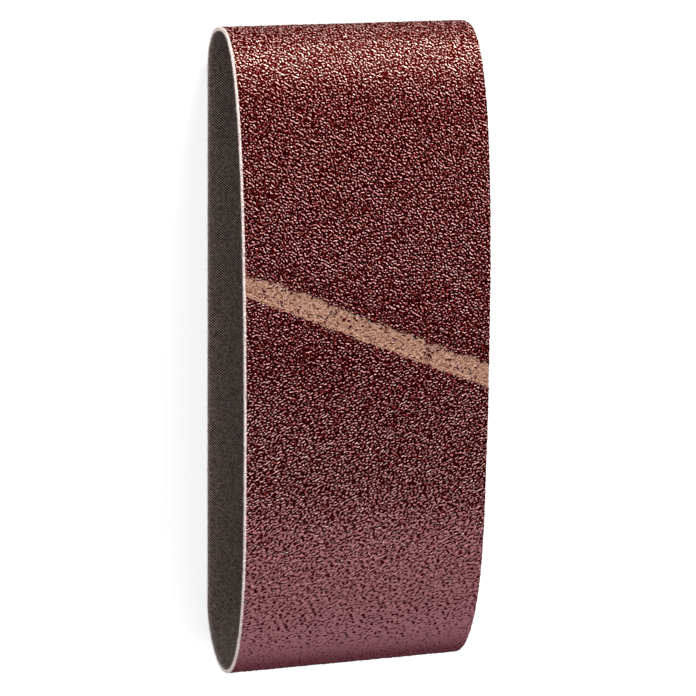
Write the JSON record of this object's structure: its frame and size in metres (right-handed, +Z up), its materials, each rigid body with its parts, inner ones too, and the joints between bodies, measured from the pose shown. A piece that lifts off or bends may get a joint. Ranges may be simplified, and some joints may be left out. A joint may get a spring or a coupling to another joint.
{
  "type": "sanding belt",
  "caption": "Endless cloth-backed sanding belt for a hand-held belt sander, with coarse red-brown grain outside and a slanted lap splice.",
  "frame": {"origin": "on the surface that the belt lies on, under the middle of the loop", "axes": "+X across the belt's width, +Y along the loop towards the rounder end, +Z up, away from the resting surface"},
  "size_m": [0.075, 0.2048, 0.0547],
  "materials": {
    "cloth": "dark grey-brown cotton twill, finished with resin",
    "grain": "coarse aluminium oxide grain under a glossy red-brown resin coat",
    "glue": "tan splice adhesive over the ground stripe"
  },
  "bodies": {
    "root": {"backing_cloth": "cloth", "abrasive_coat": "grain", "splice_glue": "glue"}
  },
  "joints": []
}
